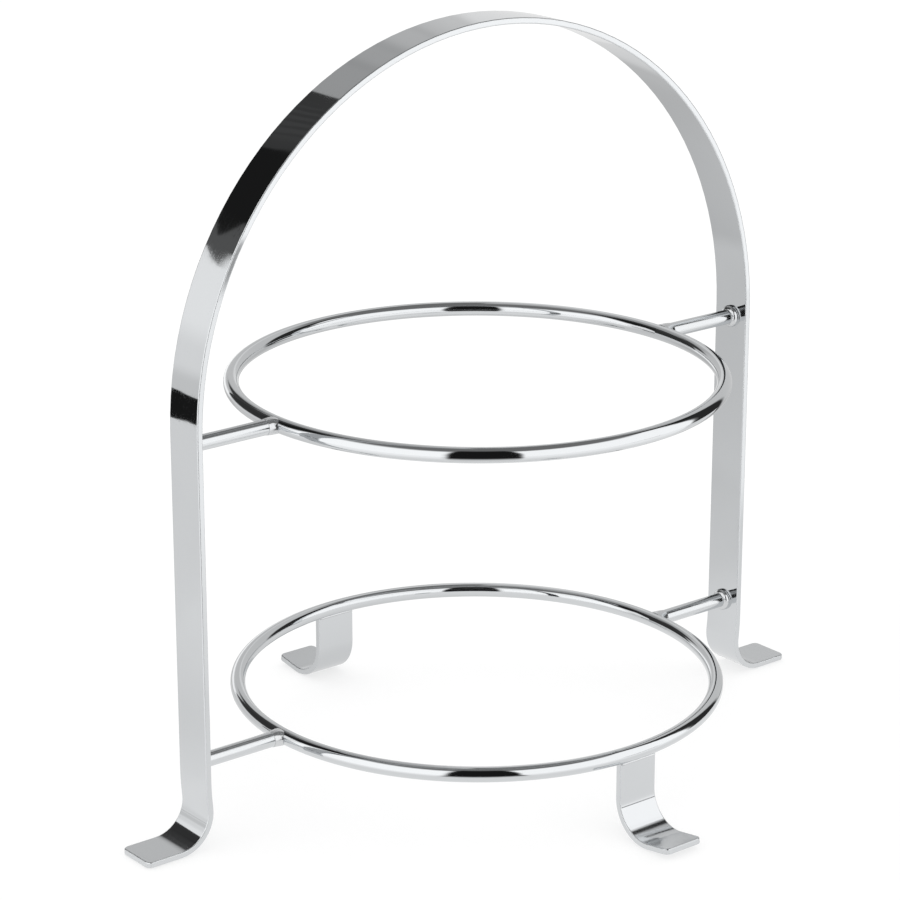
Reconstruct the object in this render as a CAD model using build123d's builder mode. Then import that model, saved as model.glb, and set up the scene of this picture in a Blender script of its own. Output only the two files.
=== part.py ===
"""Two-tier cake and plate stand: a bent flat-bar arch that carries two wire rings on four feet.

Frame: the arch lies in the XZ plane, the bar's width runs along Y and +Z is up. The origin is on the
table, under the middle of the stand. Lengths are in millimetres, angles in degrees.
"""

from build123d import *
from math import cos, radians, sin, sqrt
import os

os.makedirs("parts", exist_ok=True)

# Stock
WIRE_DIAMETER = 5.0
BAR_WIDTH = 15.0
BAR_THICKNESS = 2.0
BAR_EDGE_ROUNDING = 0.4
FOOT_CORNER_RADIUS = 2.0

# Layout
TOTAL_HEIGHT = 250.0
ARCH_RADIUS = 114.0             # to the middle of the bar, and half the span of the two posts
RING_RADIUS = 80.0              # to the centre line of the wire
LOWER_RING_HEIGHT = 27.0        # centre line of the wire above the table
TIER_SPACING = 105.0

# Bent feet, measured on the middle of the bar
FOOT_REACH = 23.5               # from the straight part of a post or leg to its foot's tip
POST_BEND_RADIUS = 11.5
KICK_RADIUS = 90.0              # a post leans gently inward just above its foot
KICK_ANGLE = 6.0
LEG_BEND_RADIUS = 12.0
LEG_TIP_LIFT = 7.0              # a short leg's foot curls up a little towards its tip

# Welds
COPE_LAND = 1.5                 # a rod's blunt end lies this far outside its ring's centre line
COLLAR_RADIUS = 3.8
COLLAR_LENGTH = 1.8
WELD_LIP = 0.1                  # thickness of a weld where it feathers out
SADDLE_START = 0.8              # saddle weld between rod and ring, from the ring's centre line
SADDLE_WAIST = 3.0
SADDLE_END = 4.8
SADDLE_HALF_WIDTH = 4.6
SADDLE_WAIST_HALF_WIDTH = 3.1
SADDLE_WAIST_SWELL = 0.25
SEAM_RADIUS = 0.45              # seam weld between a short leg's top and its ring
SEAM_STANDOFF = 0.1
SEAM_END_MARGIN = 0.6
SEAM_END_ROUNDING = 0.3

WIRE_RADIUS = WIRE_DIAMETER / 2
HALF_BAR = BAR_THICKNESS / 2
POST_INNER_FACE = ARCH_RADIUS - HALF_BAR
RING_HEIGHTS = {"lower": LOWER_RING_HEIGHT, "upper": LOWER_RING_HEIGHT + TIER_SPACING}
SIDES = {"left": -1, "right": 1}


def save(piece, name):
    """Labels a finished piece and writes it to its own file."""
    piece.label = name
    export_step(piece, f"parts/{name}.step")


def long_edges(bar_faces):
    """The edges along a bent bar, without the short ones across its thickness at a foot's tip."""
    return bar_faces.edges().filter_by(lambda edge: edge.length > BAR_THICKNESS)


# Arch strap: left foot, left post, semicircular handle, right post and right foot in one bent bar
post_bend_height = HALF_BAR + POST_BEND_RADIUS
kick_height = post_bend_height + (POST_BEND_RADIUS + KICK_RADIUS) * sin(radians(KICK_ANGLE))
spring_height = TOTAL_HEIGHT - HALF_BAR - ARCH_RADIUS

with BuildPart() as arch_strap:
    with BuildLine(Plane.XZ) as half_arch:
        handle = CenterArc((0, spring_height), ARCH_RADIUS, 90, -90)
        post = Line(handle @ 1, (ARCH_RADIUS, kick_height))
        kick = JernArc(post @ 1, post % 1, KICK_RADIUS, -KICK_ANGLE)
        bend = JernArc(kick @ 1, kick % 1, POST_BEND_RADIUS, 90 + KICK_ANGLE)
        Line(bend @ 1, (ARCH_RADIUS + FOOT_REACH, HALF_BAR))
    with BuildSketch(Plane(half_arch.wire() @ 0, x_dir=(0, 1, 0), z_dir=half_arch.wire() % 0)):
        Rectangle(BAR_WIDTH, BAR_THICKNESS)
    sweep(path=half_arch.wire())
    foot_tip = arch_strap.faces().sort_by(Axis.X)[-1]
    fillet(foot_tip.edges().filter_by(Axis.Z), radius=FOOT_CORNER_RADIUS)
    mirror(about=Plane.YZ)
    fillet(long_edges(arch_strap.faces().filter_by(Axis.Y)), radius=BAR_EDGE_ROUNDING)
save(arch_strap.part, "arch_strap")

# Rings: one closed hoop of round wire for each tier
rings = {}
for tier, height in RING_HEIGHTS.items():
    with BuildPart() as ring:
        with BuildSketch(Plane.XZ):
            with Locations((RING_RADIUS, height)):
                Circle(WIRE_RADIUS)
        revolve(axis=Axis.Z)
    rings[tier] = ring.part
    save(ring.part, f"{tier}_ring")

# Rods with their two welds: a round collar on the post and a saddle on the ring
for tier, height in RING_HEIGHTS.items():
    for side, sign in SIDES.items():
        inward = (-sign, 0, 0)
        post_end = (sign * POST_INNER_FACE, 0, height)

        with BuildPart() as rod:
            with BuildSketch(Plane(post_end, x_dir=(0, 1, 0), z_dir=inward)):
                Circle(WIRE_RADIUS)
            extrude(amount=POST_INNER_FACE - RING_RADIUS - COPE_LAND)
            add(rings[tier], mode=Mode.SUBTRACT)
        save(rod.part, f"{tier}_{side}_rod")

        with BuildPart() as collar:
            with BuildSketch(Plane(post_end, x_dir=inward, z_dir=(0, sign, 0))):
                with BuildLine():
                    foot = Line((0, WIRE_RADIUS), (0, COLLAR_RADIUS))
                    crown = ThreePointArc(
                        foot @ 1,
                        (COLLAR_LENGTH / 2, COLLAR_RADIUS - WELD_LIP),
                        (COLLAR_LENGTH, WIRE_RADIUS + WELD_LIP),
                    )
                    Polyline(crown @ 1, (COLLAR_LENGTH, WIRE_RADIUS), foot @ 0)
                make_face()
            revolve(axis=Axis(post_end, inward))
        save(collar.part, f"{tier}_{side}_collar_weld")

        saddle_sections = (
            (SADDLE_START, SADDLE_HALF_WIDTH, WIRE_RADIUS),
            (SADDLE_WAIST, SADDLE_WAIST_HALF_WIDTH, WIRE_RADIUS + SADDLE_WAIST_SWELL),
            (SADDLE_END, WIRE_RADIUS + WELD_LIP, WIRE_RADIUS + WELD_LIP),
        )
        with BuildPart() as saddle:
            for distance, half_width, half_height in saddle_sections:
                centre = (sign * (RING_RADIUS + distance), 0, height)
                with BuildSketch(Plane(centre, x_dir=(0, 1, 0), z_dir=(sign, 0, 0))):
                    Ellipse(half_width, half_height)
            loft()
            add(rings[tier], mode=Mode.SUBTRACT)
            add(rod.part, mode=Mode.SUBTRACT)
        save(saddle.part, f"{tier}_{side}_saddle_weld")

# Short legs: the same bar, butted under the lower ring at front and rear, with a seam on each face
leg_bend_height = HALF_BAR + LEG_BEND_RADIUS
lift = radians(LEG_TIP_LIFT)
tip_rise = (FOOT_REACH - LEG_BEND_RADIUS * (1 - sin(lift))) * sin(lift) / cos(lift)

with BuildPart() as front_leg:
    with BuildLine(Plane.YZ) as leg_path:
        shank = Line((-RING_RADIUS, LOWER_RING_HEIGHT), (-RING_RADIUS, leg_bend_height))
        curl = JernArc(shank @ 1, shank % 1, LEG_BEND_RADIUS, -(90 + LEG_TIP_LIFT))
        Line(curl @ 1, (-RING_RADIUS - FOOT_REACH, (curl @ 1).Z + tip_rise))
    with BuildSketch(Plane(leg_path.wire() @ 0, x_dir=(1, 0, 0), z_dir=leg_path.wire() % 0)):
        Rectangle(BAR_WIDTH, BAR_THICKNESS)
    sweep(path=leg_path.wire())
    leg_tip = front_leg.faces().sort_by(Axis.Y)[0]
    fillet(leg_tip.edges().filter_by(Axis.X, reverse=True), radius=FOOT_CORNER_RADIUS)
    fillet(long_edges(front_leg.faces().filter_by(Axis.X)), radius=BAR_EDGE_ROUNDING)
    add(rings["lower"], mode=Mode.SUBTRACT)

seam_reach = HALF_BAR + SEAM_STANDOFF
seam_drop = sqrt((WIRE_RADIUS + SEAM_STANDOFF) ** 2 - seam_reach**2)
seam_height = LOWER_RING_HEIGHT - seam_drop
front_seams = {}
for face, offset in {"outer": -seam_reach, "inner": seam_reach}.items():
    with BuildPart() as seam:
        with BuildSketch(Plane.YZ):
            with Locations((-RING_RADIUS + offset, seam_height)):
                Circle(SEAM_RADIUS)
        extrude(amount=BAR_WIDTH / 2 - SEAM_END_MARGIN, both=True)
        fillet(seam.edges().filter_by(GeomType.CIRCLE), radius=SEAM_END_ROUNDING)
        add(rings["lower"], mode=Mode.SUBTRACT)
        add(front_leg.part, mode=Mode.SUBTRACT)
    front_seams[face] = seam.part

save(front_leg.part, "front_leg")
save(mirror(front_leg.part, about=Plane.XZ), "rear_leg")
for face, seam_part in front_seams.items():
    save(seam_part, f"front_leg_{face}_weld")
    save(mirror(seam_part, about=Plane.XZ), f"rear_leg_{face}_weld")
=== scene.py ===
"""Looks of the tiered cake stand: bright chrome in a pale studio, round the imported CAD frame. Metres."""

import math

import bpy
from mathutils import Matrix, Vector


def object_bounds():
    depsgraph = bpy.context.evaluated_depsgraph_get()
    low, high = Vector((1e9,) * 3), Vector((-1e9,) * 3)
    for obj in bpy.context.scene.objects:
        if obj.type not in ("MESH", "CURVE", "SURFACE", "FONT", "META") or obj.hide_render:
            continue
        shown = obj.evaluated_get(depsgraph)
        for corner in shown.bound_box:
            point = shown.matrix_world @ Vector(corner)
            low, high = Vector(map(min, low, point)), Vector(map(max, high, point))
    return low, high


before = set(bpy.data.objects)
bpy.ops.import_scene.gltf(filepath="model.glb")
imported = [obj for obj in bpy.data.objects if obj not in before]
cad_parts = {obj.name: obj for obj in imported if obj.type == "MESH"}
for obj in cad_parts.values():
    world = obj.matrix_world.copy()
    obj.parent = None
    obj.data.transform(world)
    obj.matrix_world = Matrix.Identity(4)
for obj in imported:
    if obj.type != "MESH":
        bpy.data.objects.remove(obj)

CAD_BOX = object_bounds()
CENTRE = (CAD_BOX[0] + CAD_BOX[1]) / 2

# Camera: where it stands round the stand's centre, which way it looks, and its lens
CAMERA_AZIMUTH = -39.23
CAMERA_ELEVATION = 18.61
CAMERA_DISTANCE = 1.040
LOOK_AZIMUTH = -38.71
LOOK_ELEVATION = 18.57
CAMERA_LENS = 127.0
PIVOT_DROP = 0.019

# Studio: a tent and a table that only the chrome sees, over a pale floor
TENT_RADIUS = 0.60
TENT_SEGMENTS = 128
TENT_RINGS = 48
FLOOR_SIZE = 30.0
FLOOR_DROP = 0.0002
FLOOR_TONES = ((0.38, 0.38, 0.38, 1.0), (0.40, 0.40, 0.40, 1.0))
FLOOR_SPECKLE_SCALE = 25.0
FLOOR_ROUGHNESS = 0.9
FLOOR_GLOW = 0.63
WORLD_STRENGTH = 1.06
WHITE = (1.0, 1.0, 1.0, 1.0)


# ---------------------------------------------------------------- node helpers

class Nodes:
    """A few short calls for building one node tree."""

    def __init__(self, tree):
        self.tree = tree
        tree.nodes.clear()

    def add(self, kind, inputs=None, **settings):
        node = self.tree.nodes.new(kind)
        for name, value in settings.items():
            setattr(node, name, value)
        for name, value in (inputs or {}).items():
            socket = node.inputs[name]
            if isinstance(value, bpy.types.NodeSocket):
                self.tree.links.new(value, socket)
            else:
                socket.default_value = value
        return node

    def math(self, operation, *values):
        return self.add("ShaderNodeMath", dict(enumerate(values)), operation=operation).outputs[0]

    def ramp(self, value, low, high, out_low=0.0, out_high=1.0):
        """Smooth step of value from low to high."""
        node = self.add(
            "ShaderNodeMapRange",
            {"Value": value, "From Min": low, "From Max": high, "To Min": out_low, "To Max": out_high},
            interpolation_type="SMOOTHSTEP",
        )
        return node.outputs["Result"]

    def window(self, value, low, high, soft):
        """One between low and high, nothing outside, with soft edges."""
        rise = self.ramp(value, low - soft / 2, low + soft / 2)
        fall = self.ramp(value, high - soft / 2, high + soft / 2, 1.0, 0.0)
        return self.math("MULTIPLY", rise, fall)

    def mix(self, factor, first, second):
        """Blend of two plain values."""
        node = self.add("ShaderNodeMix", {"Factor": factor, "A": first, "B": second}, data_type="FLOAT")
        return node.outputs["Result"]

    def blend(self, factor, first, second):
        """Blend of two colours."""
        node = self.add("ShaderNodeMix", {"Factor": factor, "A": first, "B": second}, data_type="RGBA")
        return node.outputs["Result"]

    def noise(self, vector, scale, detail=3.0, roughness=0.5):
        node = self.add(
            "ShaderNodeTexNoise",
            {"Vector": vector, "Scale": scale, "Detail": detail, "Roughness": roughness},
        )
        return node.outputs["Fac"]

    def scaled(self, vector, scale):
        node = self.add("ShaderNodeVectorMath", {0: vector, 1: scale}, operation="MULTIPLY")
        return node.outputs["Vector"]

    def bump(self, height, distance, **normal):
        node = self.add(
            "ShaderNodeBump", {"Height": height, "Strength": 1.0, "Distance": distance, **normal}
        )
        return node.outputs["Normal"]

    def position(self):
        return self.add("ShaderNodeTexCoord").outputs["Object"]

    def parts(self, vector):
        return self.add("ShaderNodeSeparateXYZ", {"Vector": vector}).outputs


def new_material(name):
    material = bpy.data.materials.new(name)
    material.use_nodes = True
    return material, Nodes(material.node_tree)


def add_mesh(name, vertices, faces):
    mesh = bpy.data.meshes.new(name)
    mesh.from_pydata(vertices, [], faces)
    thing = bpy.data.objects.new(name, mesh)
    bpy.context.scene.collection.objects.link(thing)
    return thing


# ---------------------------------------------------------------- chrome

# Grain: noise cells per metre along each axis, few where the polishing or drawing lines run
BAR_GRAIN = (6.0, 1100.0, 6.0)
ROD_GRAIN = (8.0, 1500.0, 1500.0)
RING_GRAIN = (1500.0, 1500.0, 1500.0)
RING_GRAIN_LENGTH = 0.0006      # metres of grain for each radian round a ring


def lengthwise_along_bar(nodes, position):
    """Polishing lines that follow the bar, because its length always lies in the XZ plane."""
    return nodes.scaled(position, BAR_GRAIN)


def lengthwise_round_ring(nodes, position):
    """Drawing lines that follow a hoop of wire: fine across the wire, long round the ring."""
    x, y, z = nodes.parts(position)
    reach = nodes.math("SQRT", nodes.math("ADD", nodes.math("MULTIPLY", x, x), nodes.math("MULTIPLY", y, y)))
    turn = nodes.math("MULTIPLY", nodes.math("ARCTAN2", y, x), RING_GRAIN_LENGTH)
    joined = nodes.add("ShaderNodeCombineXYZ", {"X": reach, "Y": turn, "Z": z})
    return nodes.scaled(joined.outputs["Vector"], RING_GRAIN)


def lengthwise_along_rod(nodes, position):
    """Drawing lines that follow a rod, because its length lies along X."""
    return nodes.scaled(position, ROD_GRAIN)


CHROME_TINT = ((0.635, 0.65, 0.663, 1.0), (0.68, 0.695, 0.708, 1.0))
WELD_TINT = ((0.60, 0.61, 0.62, 1.0), (0.70, 0.71, 0.72, 1.0))

# Finish of each kind of piece: grain, dark and light tint, roughness from clear to smudged, depth of
# the grain, then scale and height of the ripple in the skin
FINISHES = {
    "chrome_arch": (lengthwise_along_bar, CHROME_TINT, (0.03, 0.08), 4e-7, (70.0, 2e-5)),
    "chrome_bar": (lengthwise_along_bar, CHROME_TINT, (0.04, 0.10), 4e-7, (70.0, 2e-5)),
    "chrome_ring": (lengthwise_round_ring, CHROME_TINT, (0.04, 0.09), 4e-7, (120.0, 1e-5)),
    "chrome_rod": (lengthwise_along_rod, CHROME_TINT, (0.12, 0.20), 4e-7, (120.0, 1e-5)),
    "chrome_weld": (lengthwise_along_rod, WELD_TINT, (0.16, 0.26), 1e-6, (900.0, 6e-5)),
}
SMUDGE_SCALE = 34.0
SMUDGE_RANGE = (0.42, 0.72)     # noise levels between which a smudge goes from clear to full
SCRATCH_STRETCH = (90.0, 700.0, 160.0)
SCRATCH_LEVELS = (0.498, 0.504, 0.003)
SCRATCH_ROUGHNESS = 0.03
SCRATCH_DEPTH = -0.6            # as a part of the grain's own height

# Feet are scuffed from the first height down, and not at all above the second
SCUFF_HEIGHTS = (0.0028, 0.0045)
SCUFF_ROUGHNESS = 0.10

# A bar's rounded edges and the ends of its feet are satin, measured inwards from its flat edge faces
# and from its tips. The edge faces themselves are bright.
HALF_BAR_WIDTH = 0.0075
SATIN_STARTS = (0.00045, 0.00035)
SATIN_STOPS = (6e-6, 2e-6)
SATIN_TIP = (0.0005, 0.0003)
SATIN_ROUGHNESS = 0.28

# The post on the +X side is twisted a little, as a slope across Y that has grown in by this X
POST_TWIST = -0.040
TWIST_FULL_AT = 0.09


def satin_edges(nodes, across, along, tip):
    """Roughness on a bar's rounded edges and on the ends of its feet, from its width and length axes."""
    reach = nodes.math("ABSOLUTE", across)
    starts = nodes.ramp(reach, *[HALF_BAR_WIDTH - inset for inset in SATIN_STARTS])
    stops = nodes.ramp(reach, *[HALF_BAR_WIDTH - inset for inset in SATIN_STOPS], 1.0, 0.0)
    side = nodes.math("MULTIPLY", starts, stops)
    end = nodes.ramp(nodes.math("ABSOLUTE", along), *[tip - inset for inset in SATIN_TIP])
    return nodes.math("MULTIPLY", nodes.math("MAXIMUM", side, end), SATIN_ROUGHNESS)


def chrome(name, twist=0.0, bar_axes=None):
    """Bright chrome plate: faint grain, a slightly wavy skin, hairline scratches and light smudges.

    A twist leans the skin of the stand's +X half by that slope across Y. A bar's axes, width then
    length, give it satin edges.
    """
    grain, (dark, light), gloss, grain_depth, (ripple_scale, ripple_height) = FINISHES[name]
    material, nodes = new_material(name)
    position = nodes.position()
    x, y, z = nodes.parts(position)
    lines = nodes.noise(grain(nodes, position), 1.0, detail=4.0, roughness=0.65)
    smudges = nodes.noise(position, SMUDGE_SCALE, detail=5.0, roughness=0.6)
    strokes = nodes.noise(nodes.scaled(position, SCRATCH_STRETCH), 1.0, detail=2.0)
    scratches = nodes.window(strokes, *SCRATCH_LEVELS)

    waves = nodes.math("MULTIPLY", nodes.noise(position, ripple_scale, detail=1.0), ripple_height)
    if twist:
        lean = nodes.math("MULTIPLY", y, nodes.ramp(x, 0.0, TWIST_FULL_AT, 0.0, twist))
        waves = nodes.math("ADD", waves, lean)

    smudged = nodes.ramp(smudges, *SMUDGE_RANGE, *gloss)
    scratched = nodes.math("MULTIPLY_ADD", scratches, SCRATCH_ROUGHNESS, smudged)
    worn = nodes.math("ADD", scratched, nodes.ramp(z, *SCUFF_HEIGHTS, SCUFF_ROUGHNESS, 0.0))
    if bar_axes:
        across, along = [(x, y)[axis] for axis in bar_axes]
        edges = satin_edges(nodes, across, along, CAD_BOX[1][bar_axes[1]])
        worn = nodes.math("ADD", worn, edges)

    fine = nodes.bump(nodes.math("MULTIPLY_ADD", scratches, SCRATCH_DEPTH, lines), grain_depth)
    wavy = nodes.bump(waves, 1.0, Normal=fine)
    shader = nodes.add(
        "ShaderNodeBsdfPrincipled",
        {"Base Color": nodes.blend(smudges, dark, light), "Roughness": worn, "Normal": wavy,
         "Metallic": 1.0},
    )
    nodes.add("ShaderNodeOutputMaterial", {"Surface": shader.outputs["BSDF"]})
    return material


def dress_cad_nodes():
    arch = chrome("chrome_arch", twist=POST_TWIST, bar_axes=(1, 0))
    bar = chrome("chrome_bar", bar_axes=(0, 1))
    ring = chrome("chrome_ring")
    rod = chrome("chrome_rod")
    weld = chrome("chrome_weld")
    for name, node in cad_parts.items():
        if name.endswith("_weld"):
            material = weld
        elif name.endswith("_ring"):
            material = ring
        elif name.endswith("_rod"):
            material = rod
        elif name == "arch_strap":
            material = arch
        else:
            material = bar
        node.data.materials.clear()
        node.data.materials.append(material)


# ---------------------------------------------------------------- studio

# Panels of the tent as the chrome sees them, each row laid over the ones before it: edges in degrees
# round the stand from +X towards +Y, bottom and top in metres above the table, softness across
# (degrees) and up (metres), then brightness. A panel that ends below the table only changes what
# the table mirrors.
TENT_TOP = 0.20
BELOW_TABLE = -1.0
TENT_PANELS = (
    (2.0, 48.0, BELOW_TABLE, 0.48, 6.0, 0.08, 0.70),
    (45.0, 54.0, BELOW_TABLE, 0.48, 4.0, 0.08, 0.85),
    (52.5, 60.0, BELOW_TABLE, 0.58, 3.0, 0.04, 0.68),
    (58.0, 70.0, BELOW_TABLE, 0.58, 8.0, 0.04, 0.58),
    (68.0, 80.0, BELOW_TABLE, 0.58, 8.0, 0.04, 0.47),
    (78.0, 102.0, BELOW_TABLE, 0.58, 8.0, 0.04, 0.42),
    (56.0, 102.0, BELOW_TABLE, 0.34, 8.0, 0.04, 0.66),
    (64.0, 98.0, 0.02, 0.15, 12.0, 0.08, 1.20),
    (98.0, 136.0, BELOW_TABLE, 0.12, 6.0, 0.06, 0.81),
    (130.8, 152.0, BELOW_TABLE, 0.347, 1.0, 0.004, 0.98),
    (130.8, 152.0, 0.03, 0.12, 1.0, 0.05, 0.76),
    (130.8, 152.0, 0.11, 0.347, 1.0, 0.05, 0.94),
    (130.8, 152.0, 0.19, 0.347, 1.0, 0.06, 1.08),
    (146.0, 219.0, BELOW_TABLE, 0.50, 7.0, 0.10, 1.38),
    (-111.5, -27.0, BELOW_TABLE, 0.505, 4.0, 0.06, 1.34),
    (-38.0, -19.0, 0.41, 0.51, 5.0, 0.02, 1.30),
    (-24.0, 0.0, BELOW_TABLE, 0.46, 4.0, 0.04, 0.03),
    (-18.0, -2.0, 0.40, 0.53, 2.0, 0.02, 0.02),
    (-141.0, -111.5, BELOW_TABLE, 0.56, 3.0, 0.06, 0.012),
    (-66.0, -47.0, 0.0, 0.025, 4.0, 0.008, 0.45),
    (137.5, 144.0, 0.0, 0.018, 2.0, 0.008, 0.70),
    (143.0, 166.0, BELOW_TABLE, -0.01, 6.0, 0.02, 1.04),
    (-30.0, -3.0, BELOW_TABLE, -0.01, 4.0, 0.02, 1.00),
)
# The dark far corner of the room and what hangs in it: same columns, but with ragged edges
TENT_SHADOWS = (
    (79.0, 97.0, 0.27, 0.44, 8.0, 0.05, 0.05),
    (94.7, 131.2, 0.13, 0.56, 0.8, 0.08, 0.05),
    (94.7, 141.0, 0.347, 0.56, 0.8, 0.003, 0.05),
    (100.0, 112.0, 0.44, 0.51, 5.0, 0.02, 0.065),
    (126.0, 141.0, 0.347, 0.392, 1.0, 0.003, 0.11),
    (98.0, 128.5, 0.20, 0.392, 3.0, 0.03, 0.04),
    (115.1, 141.0, 0.392, 0.56, 0.6, 0.003, 0.013),
    (127.0, 137.5, 0.0, 0.064, 1.5, 0.003, 0.012),
)
WIDEST_ANGLE = 180.0            # a panel that ends past this one is measured from -90 to 270

# Ragged edges sag in pleats and fray in strands, both leaning by these degrees for each metre up
PLEAT_LEAN = 70.0
PLEAT_START = 155.1
PLEAT_WIDTH = 1.0
PLEAT_SAG = 0.09
STRAND_LEAN = 20.0
STRAND_DEPTH = 0.012

# The table near the stand glows with painted light, going from the first tone to the darker second one over
# these depths in Y, which is painted shade behind the stand. Further out it mirrors the tent below its rim,
# and does so fully at the second reach from the centre.
TABLE_DEPTHS = (0.03, 0.10)
TABLE_LIT_AND_SHADED_TONES = (0.95, 0.80)
TABLE_LEVEL = -0.05
TABLE_REFLECTANCE = 0.9
TABLE_MIRROR_REACH = (0.10, 0.30)


def only_in_reflections(thing):
    """Seen by the chrome alone: it neither shows, lights nor shadows anything else."""
    thing.visible_camera = False
    thing.visible_diffuse = False
    thing.visible_shadow = False
    thing.visible_transmission = False
    thing.visible_volume_scatter = False


def make_floor():
    """The plain pale floor that the picture shows and the chrome does not."""
    half = FLOOR_SIZE / 2
    corners = [(-half, -half), (half, -half), (half, half), (-half, half)]
    floor = add_mesh("studio_floor", [(x, y, -2 * FLOOR_DROP) for x, y in corners], [(0, 1, 2, 3)])
    material, nodes = new_material("pale_floor")
    speckle = nodes.noise(nodes.position(), FLOOR_SPECKLE_SCALE, detail=4.0)
    shader = nodes.add(
        "ShaderNodeBsdfPrincipled",
        {"Base Color": nodes.blend(speckle, *FLOOR_TONES), "Roughness": FLOOR_ROUGHNESS,
         "Specular IOR Level": 0.0, "Emission Color": WHITE, "Emission Strength": FLOOR_GLOW},
    )
    nodes.add("ShaderNodeOutputMaterial", {"Surface": shader.outputs["BSDF"]})
    floor.data.materials.append(material)
    floor.visible_glossy = False


def tent_brightness(nodes, position, height):
    """Brightness of the tent in the direction of a position, at a height above the table."""
    x, y = nodes.parts(position)[:2]
    turn = nodes.math("MULTIPLY", nodes.math("ARCTAN2", y, x), 180 / math.pi)
    wrapped = nodes.math("WRAP", turn, 270.0, -90.0)
    along = nodes.math("MULTIPLY_ADD", height, PLEAT_LEAN, turn)
    pleat = nodes.math("PINGPONG", nodes.math("SUBTRACT", along, PLEAT_START), PLEAT_WIDTH)
    sagging = nodes.math("MULTIPLY", height, nodes.math("MULTIPLY_ADD", pleat, PLEAT_SAG, 1.0))
    strands = nodes.add(
        "ShaderNodeTexNoise",
        {"W": nodes.math("MULTIPLY_ADD", height, STRAND_LEAN, turn), "Scale": 1.0},
        noise_dimensions="1D",
    )
    frayed = nodes.math("SUBTRACT", strands.outputs["Fac"], 0.5)
    ragged = nodes.math("MULTIPLY_ADD", frayed, STRAND_DEPTH, sagging)
    value = TENT_TOP
    for panels, level in ((TENT_PANELS, height), (TENT_SHADOWS, ragged)):
        for start, end, low, high, soft_across, soft_up, brightness in panels:
            angle = wrapped if end > WIDEST_ANGLE else turn
            across = nodes.window(angle, start, end, soft_across)
            up = nodes.window(level, low, high, soft_up)
            value = nodes.mix(nodes.math("MULTIPLY", across, up), value, brightness)
    return value


def glow_in_reflections(thing, nodes, material, strength):
    """Gives a thing a plain glow of varying strength that only the chrome sees."""
    emission = nodes.add("ShaderNodeEmission", {"Strength": strength})
    nodes.add("ShaderNodeOutputMaterial", {"Surface": emission.outputs["Emission"]})
    thing.data.materials.append(material)
    only_in_reflections(thing)


def circle_point(index, count):
    turn = 2 * math.pi * index / count
    return math.cos(turn), math.sin(turn)


def make_mirrored_table():
    """The table as the chrome sees it, glowing with painted light: pale near the stand with painted shade
    behind it, mirroring the tent further out.
    """
    rim = [circle_point(i, TENT_SEGMENTS) for i in range(TENT_SEGMENTS)]
    corners = [(TENT_RADIUS * x, TENT_RADIUS * y, -FLOOR_DROP) for x, y in rim]
    table = add_mesh("studio_table", corners, [tuple(range(TENT_SEGMENTS))])
    material, nodes = new_material("mirrored_table")
    position = nodes.position()
    # Painted light and painted shade: the glow near the stand darkens towards +Y, behind the stand
    near = nodes.ramp(nodes.parts(position)["Y"], *TABLE_DEPTHS, *TABLE_LIT_AND_SHADED_TONES)
    far = nodes.math("MULTIPLY", tent_brightness(nodes, position, TABLE_LEVEL), TABLE_REFLECTANCE)
    reach = nodes.add("ShaderNodeVectorMath", {0: position}, operation="LENGTH").outputs["Value"]
    glow_in_reflections(table, nodes, material, nodes.mix(nodes.ramp(reach, *TABLE_MIRROR_REACH), near, far))


def make_tent():
    """The half dome over the table, whose panels are all patterns in its glow."""
    vertices = [(0.0, 0.0, TENT_RADIUS)]
    for j in range(1, TENT_RINGS + 1):
        polar = math.pi / 2 * j / TENT_RINGS
        reach, height = TENT_RADIUS * math.sin(polar), TENT_RADIUS * math.cos(polar)
        for i in range(TENT_SEGMENTS):
            x, y = circle_point(i, TENT_SEGMENTS)
            vertices.append((reach * x, reach * y, height))
    faces = [(0, 1 + i, 1 + (i + 1) % TENT_SEGMENTS) for i in range(TENT_SEGMENTS)]
    for j in range(TENT_RINGS - 1):
        first = 1 + j * TENT_SEGMENTS
        for i in range(TENT_SEGMENTS):
            a, b = first + i, first + (i + 1) % TENT_SEGMENTS
            faces.append((a, a + TENT_SEGMENTS, b + TENT_SEGMENTS, b))
    tent = add_mesh("studio_tent", vertices, faces)
    material, nodes = new_material("tent_cloth")
    position = nodes.position()
    brightness = tent_brightness(nodes, position, nodes.parts(position)["Z"])
    glow_in_reflections(tent, nodes, material, brightness)


def light_the_room():
    world = bpy.data.worlds.new("studio")
    bpy.context.scene.world = world
    world.use_nodes = True
    nodes = Nodes(world.node_tree)
    background = nodes.add("ShaderNodeBackground", {"Color": WHITE, "Strength": WORLD_STRENGTH})
    nodes.add("ShaderNodeOutputWorld", {"Surface": background.outputs["Background"]})
    bpy.context.scene.view_settings.view_transform = "Standard"


# ---------------------------------------------------------------- camera

def bearing(azimuth, elevation):
    """Unit vector towards an azimuth measured from -Y towards +X, raised by an elevation."""
    turn, rise = math.radians(azimuth), math.radians(elevation)
    return Vector((math.sin(turn) * math.cos(rise), -math.cos(turn) * math.cos(rise), math.sin(rise)))


def add_camera():
    camera = bpy.data.objects.new("camera", bpy.data.cameras.new("camera"))
    camera.data.lens = CAMERA_LENS
    pivot = CENTRE - Vector((0.0, 0.0, PIVOT_DROP))
    camera.location = pivot + bearing(CAMERA_AZIMUTH, CAMERA_ELEVATION) * CAMERA_DISTANCE
    camera.rotation_euler = (-bearing(LOOK_AZIMUTH, LOOK_ELEVATION)).to_track_quat("-Z", "Y").to_euler()
    bpy.context.scene.collection.objects.link(camera)
    bpy.context.scene.camera = camera


dress_cad_nodes()
make_floor()
make_mirrored_table()
make_tent()
light_the_room()
add_camera()
